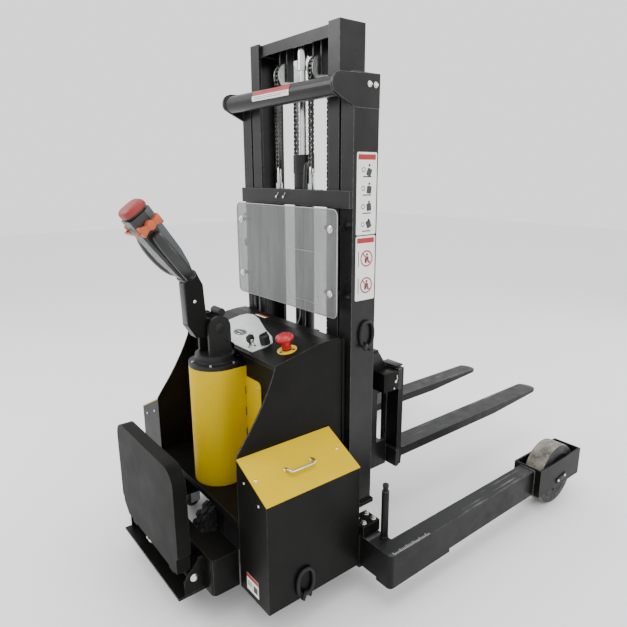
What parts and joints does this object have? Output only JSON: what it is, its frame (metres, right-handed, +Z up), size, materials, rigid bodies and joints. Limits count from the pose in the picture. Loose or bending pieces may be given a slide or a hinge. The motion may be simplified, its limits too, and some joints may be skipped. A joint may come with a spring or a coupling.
{
  "type": "walkie stacker",
  "caption": "Pedestrian straddle stacker with a two-stage mast, forks on a carriage, adjustable straddle legs, folding rear platform and a tiller.",
  "frame": {"origin": "on the floor, under the middle of the truck's footprint", "axes": "+Y points the way the forks point, +X to the truck's right, +Z up"},
  "size_m": [1.36, 2.21, 2],
  "materials": {
    "battery_case": "matte",
    "black_paint": "satin black paint",
    "black_plastic": "matte",
    "chain_steel": "oiled",
    "chrome": "polished",
    "clear_sheet": "clear sheet",
    "drive_steel": "painted cast iron",
    "mast_paint": "satin black paint",
    "orange_plastic": "satin",
    "red_plastic": "gloss",
    "rubber": "matte rubber",
    "tread": "polyurethane tread",
    "white_panel": "satin",
    "yellow_paint": "gloss yellow paint",
    "zinc": "zinc plated"
  },
  "bodies": {
    "chassis": {"deck_plate": "black_paint", "rear_bumper_box": "black_paint", "right_side_panel": "black_paint", "left_side_panel": "black_paint", "console_shell": "black_paint", "leg_receiver": "black_paint", "right_battery_box": "black_paint", "left_battery_box": "black_paint", "right_battery": "battery_case", "left_battery": "battery_case", "drive_cover": "yellow_paint", "instrument_panel": "white_panel", "platform_bracket": "black_paint", "hydraulic_power_pack": "zinc", "right_outer_upright": "mast_paint", "left_outer_upright": "mast_paint", "mast_head_tube": "mast_paint", "chain_anchor_bar": "mast_paint", "lift_cylinder": "black_paint", "right_chain_anchor": "zinc", "left_chain_anchor": "zinc", "mast_guard": "clear_sheet", "right_chain_rear_run": "chain_steel", "left_chain_rear_run": "chain_steel"},
    "inner_mast": {"right_inner_upright": "mast_paint", "left_inner_upright": "mast_paint", "inner_top_beam": "mast_paint", "inner_lower_beam": "mast_paint", "lift_rod": "chrome", "right_chain_front_run": "chain_steel", "left_chain_front_run": "chain_steel"},
    "carriage": {"carriage_frame": "mast_paint"},
    "steering": {"steering_column": "drive_steel", "drive_unit": "drive_steel"},
    "drive_wheel": {"drive_wheel": "rubber"},
    "tiller": {"tiller_arm": "black_paint", "tiller_head": "black_plastic"},
    "thumb_paddle": {"thumb_paddle": "orange_plastic"},
    "reverse_button": {"reverse_button": "red_plastic"},
    "lift_button": {"lift_button": "orange_plastic"},
    "platform": {"platform": "black_paint"},
    "e_stop": {"e_stop_button": "red_plastic"},
    "key": {"key": "zinc"},
    "knob": {"console_knob": "black_plastic"},
    "right_sheave": {"right_sheave": "zinc"},
    "right_fork": {"right_fork": "black_paint"},
    "right_leg": {"right_leg": "black_paint", "right_wheel_housing": "black_paint"},
    "right_load_wheel": {"right_load_wheel": "tread"},
    "right_caster": {"right_caster_fork": "zinc"},
    "right_caster_wheel": {"right_caster_wheel": "rubber"},
    "right_lid": {"right_box_lid": "yellow_paint"},
    "left_sheave": {"left_sheave": "zinc"},
    "left_fork": {"left_fork": "black_paint"},
    "left_leg": {"left_leg": "black_paint", "left_wheel_housing": "black_paint"},
    "left_load_wheel": {"left_load_wheel": "tread"},
    "left_caster": {"left_caster_fork": "zinc"},
    "left_caster_wheel": {"left_caster_wheel": "rubber"},
    "left_lid": {"left_box_lid": "yellow_paint"}
  },
  "joints": [
    {"name": "mast_lift", "type": "slide", "parent": "chassis", "child": "inner_mast", "axis": [0, 0, 1], "range_m": [-0.115, 1.085], "deforming": ["right_chain_rear_run", "left_chain_rear_run"]},
    {"name": "carriage_lift", "type": "slide", "parent": "inner_mast", "child": "carriage", "axis": [0, 0, 1], "range_m": [-0.115, 1.085], "deforming": ["right_chain_front_run", "left_chain_front_run"]},
    {"name": "steering", "type": "hinge", "parent": "chassis", "child": "steering", "pos_m": [0, -0.79, 0.8], "axis": [0, 0, 1], "range_deg": [-90, 90]},
    {"name": "drive_wheel_roll", "type": "hinge", "parent": "steering", "child": "drive_wheel", "pos_m": [-0.0075, -0.79, 0.125], "axis": [1, 0, 0], "continuous": true},
    {"name": "tiller_tilt", "type": "hinge", "parent": "steering", "child": "tiller", "pos_m": [0, -0.79, 0.965], "axis": [1, 0, 0], "range_deg": [0, 60], "stiffness_Nm_per_rad": 15, "springref_deg": -60.16},
    {"name": "thumb_paddle_turn", "type": "hinge", "parent": "tiller", "child": "thumb_paddle", "pos_m": [0, -1.02609, 1.35068], "axis": [1, 0, 0], "range_deg": [-25, 25], "stiffness_Nm_per_rad": 0.4},
    {"name": "reverse_button_press", "type": "slide", "parent": "tiller", "child": "reverse_button", "axis": [0, 0.5962, -0.8028], "range_m": [0, 0.008], "stiffness_N_per_m": 900},
    {"name": "lift_button_press", "type": "slide", "parent": "tiller", "child": "lift_button", "axis": [-1, 0, 0], "range_m": [0, 0.003], "stiffness_N_per_m": 900},
    {"name": "platform_fold", "type": "hinge", "parent": "chassis", "child": "platform", "pos_m": [0, -1.045, 0.168], "axis": [1, 0, 0], "range_deg": [0, 90]},
    {"name": "e_stop_press", "type": "slide", "parent": "chassis", "child": "e_stop", "axis": [0, 0.2203, -0.9754], "range_m": [0, 0.006]},
    {"name": "key_turn", "type": "hinge", "parent": "chassis", "child": "key", "pos_m": [0.112, -0.697, 0.89126], "axis": [0, -0.2203, 0.9754], "range_deg": [0, 90]},
    {"name": "knob_turn", "type": "hinge", "parent": "chassis", "child": "knob", "pos_m": [0.142, -0.657, 0.90029], "axis": [0, -0.2203, 0.9754], "range_deg": [-135, 135]},
    {"name": "right_sheave_turn", "type": "hinge", "parent": "inner_mast", "child": "right_sheave", "pos_m": [0.104, -0.367, 1.87], "axis": [1, 0, 0], "range_deg": [-152, 1415]},
    {"name": "right_fork_shift", "type": "slide", "parent": "carriage", "child": "right_fork", "axis": [1, 0, 0], "range_m": [-0.14, 0.012]},
    {"name": "right_leg_slide", "type": "slide", "parent": "chassis", "child": "right_leg", "axis": [1, 0, 0], "range_m": [-0.03, 0.1]},
    {"name": "right_load_wheel_roll", "type": "hinge", "parent": "right_leg", "child": "right_load_wheel", "pos_m": [0.615, 0.6006, 0.143], "axis": [1, 0, 0], "continuous": true},
    {"name": "right_caster_swivel", "type": "hinge", "parent": "chassis", "child": "right_caster", "pos_m": [0.385, -0.725, 0.1032], "axis": [0, 0, 1], "continuous": true},
    {"name": "right_caster_roll", "type": "hinge", "parent": "right_caster", "child": "right_caster_wheel", "pos_m": [0.385, -0.747, 0.034], "axis": [1, 0, 0], "continuous": true},
    {"name": "right_lid_open", "type": "hinge", "parent": "chassis", "child": "right_lid", "pos_m": [0.3231, -0.7035, 0.5969], "axis": [0, -1, 0], "range_deg": [0, 105]},
    {"name": "left_sheave_turn", "type": "hinge", "parent": "inner_mast", "child": "left_sheave", "pos_m": [-0.104, -0.367, 1.87], "axis": [1, 0, 0], "range_deg": [-152, 1415]},
    {"name": "left_fork_shift", "type": "slide", "parent": "carriage", "child": "left_fork", "axis": [-1, 0, 0], "range_m": [-0.14, 0.012]},
    {"name": "left_leg_slide", "type": "slide", "parent": "chassis", "child": "left_leg", "axis": [-1, 0, 0], "range_m": [-0.03, 0.1]},
    {"name": "left_load_wheel_roll", "type": "hinge", "parent": "left_leg", "child": "left_load_wheel", "pos_m": [-0.615, 0.6006, 0.143], "axis": [1, 0, 0], "continuous": true},
    {"name": "left_caster_swivel", "type": "hinge", "parent": "chassis", "child": "left_caster", "pos_m": [-0.385, -0.725, 0.1032], "axis": [0, 0, 1], "continuous": true},
    {"name": "left_caster_roll", "type": "hinge", "parent": "left_caster", "child": "left_caster_wheel", "pos_m": [-0.385, -0.747, 0.034], "axis": [1, 0, 0], "continuous": true},
    {"name": "left_lid_open", "type": "hinge", "parent": "chassis", "child": "left_lid", "pos_m": [-0.3231, -0.7035, 0.5969], "axis": [0, 1, 0], "range_deg": [0, 105]}
  ],
  "couplings": [
    {"joint": "carriage_lift", "follows": "mast_lift", "ratio": 1},
    {"joint": "right_sheave_turn", "follows": "mast_lift", "rad_per_m": 22.727},
    {"joint": "left_sheave_turn", "follows": "mast_lift", "rad_per_m": 22.727}
  ]
}
